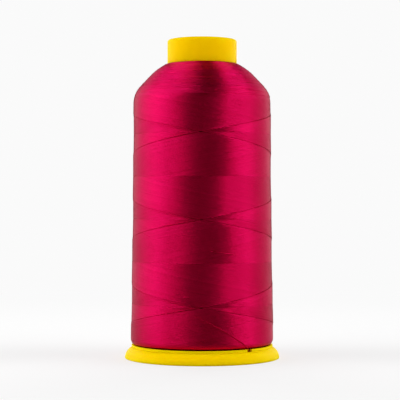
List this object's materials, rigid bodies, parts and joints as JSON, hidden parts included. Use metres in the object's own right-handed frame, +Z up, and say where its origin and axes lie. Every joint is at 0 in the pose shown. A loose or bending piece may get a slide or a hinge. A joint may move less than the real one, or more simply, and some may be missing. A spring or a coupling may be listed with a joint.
{
  "type": "spool of thread",
  "caption": "King spool of crimson sewing thread, cross-wound on a moulded yellow tube with a short bare neck and a wider domed snap foot that traps the thread's loose end.",
  "frame": {"origin": "centre of the foot's resting face, on the spool's axis", "axes": "+Z up along the spool's axis, from the foot to the neck; the thread's loose end lies towards -Y and +X"},
  "size_m": [0.0618, 0.0618, 0.127],
  "materials": {
    "core_plastic": "satin moulded polypropylene, opaque yellow",
    "foot_plastic": "satin moulded polypropylene, opaque yellow",
    "thread": "bright twisted filament thread with a silky sheen",
    "label_paper": "matt white paper, blank"
  },
  "bodies": {
    "foot": {"snap_foot": "foot_plastic", "paper_label": "label_paper"},
    "spool": {"core": "core_plastic", "wound_thread": "thread", "thread_tail": "thread"}
  },
  "joints": [
    {"name": "foot_snap", "type": "slide", "parent": "foot", "child": "spool", "axis": [0, 0, 1], "range_m": [0, 0.003]}
  ]
}
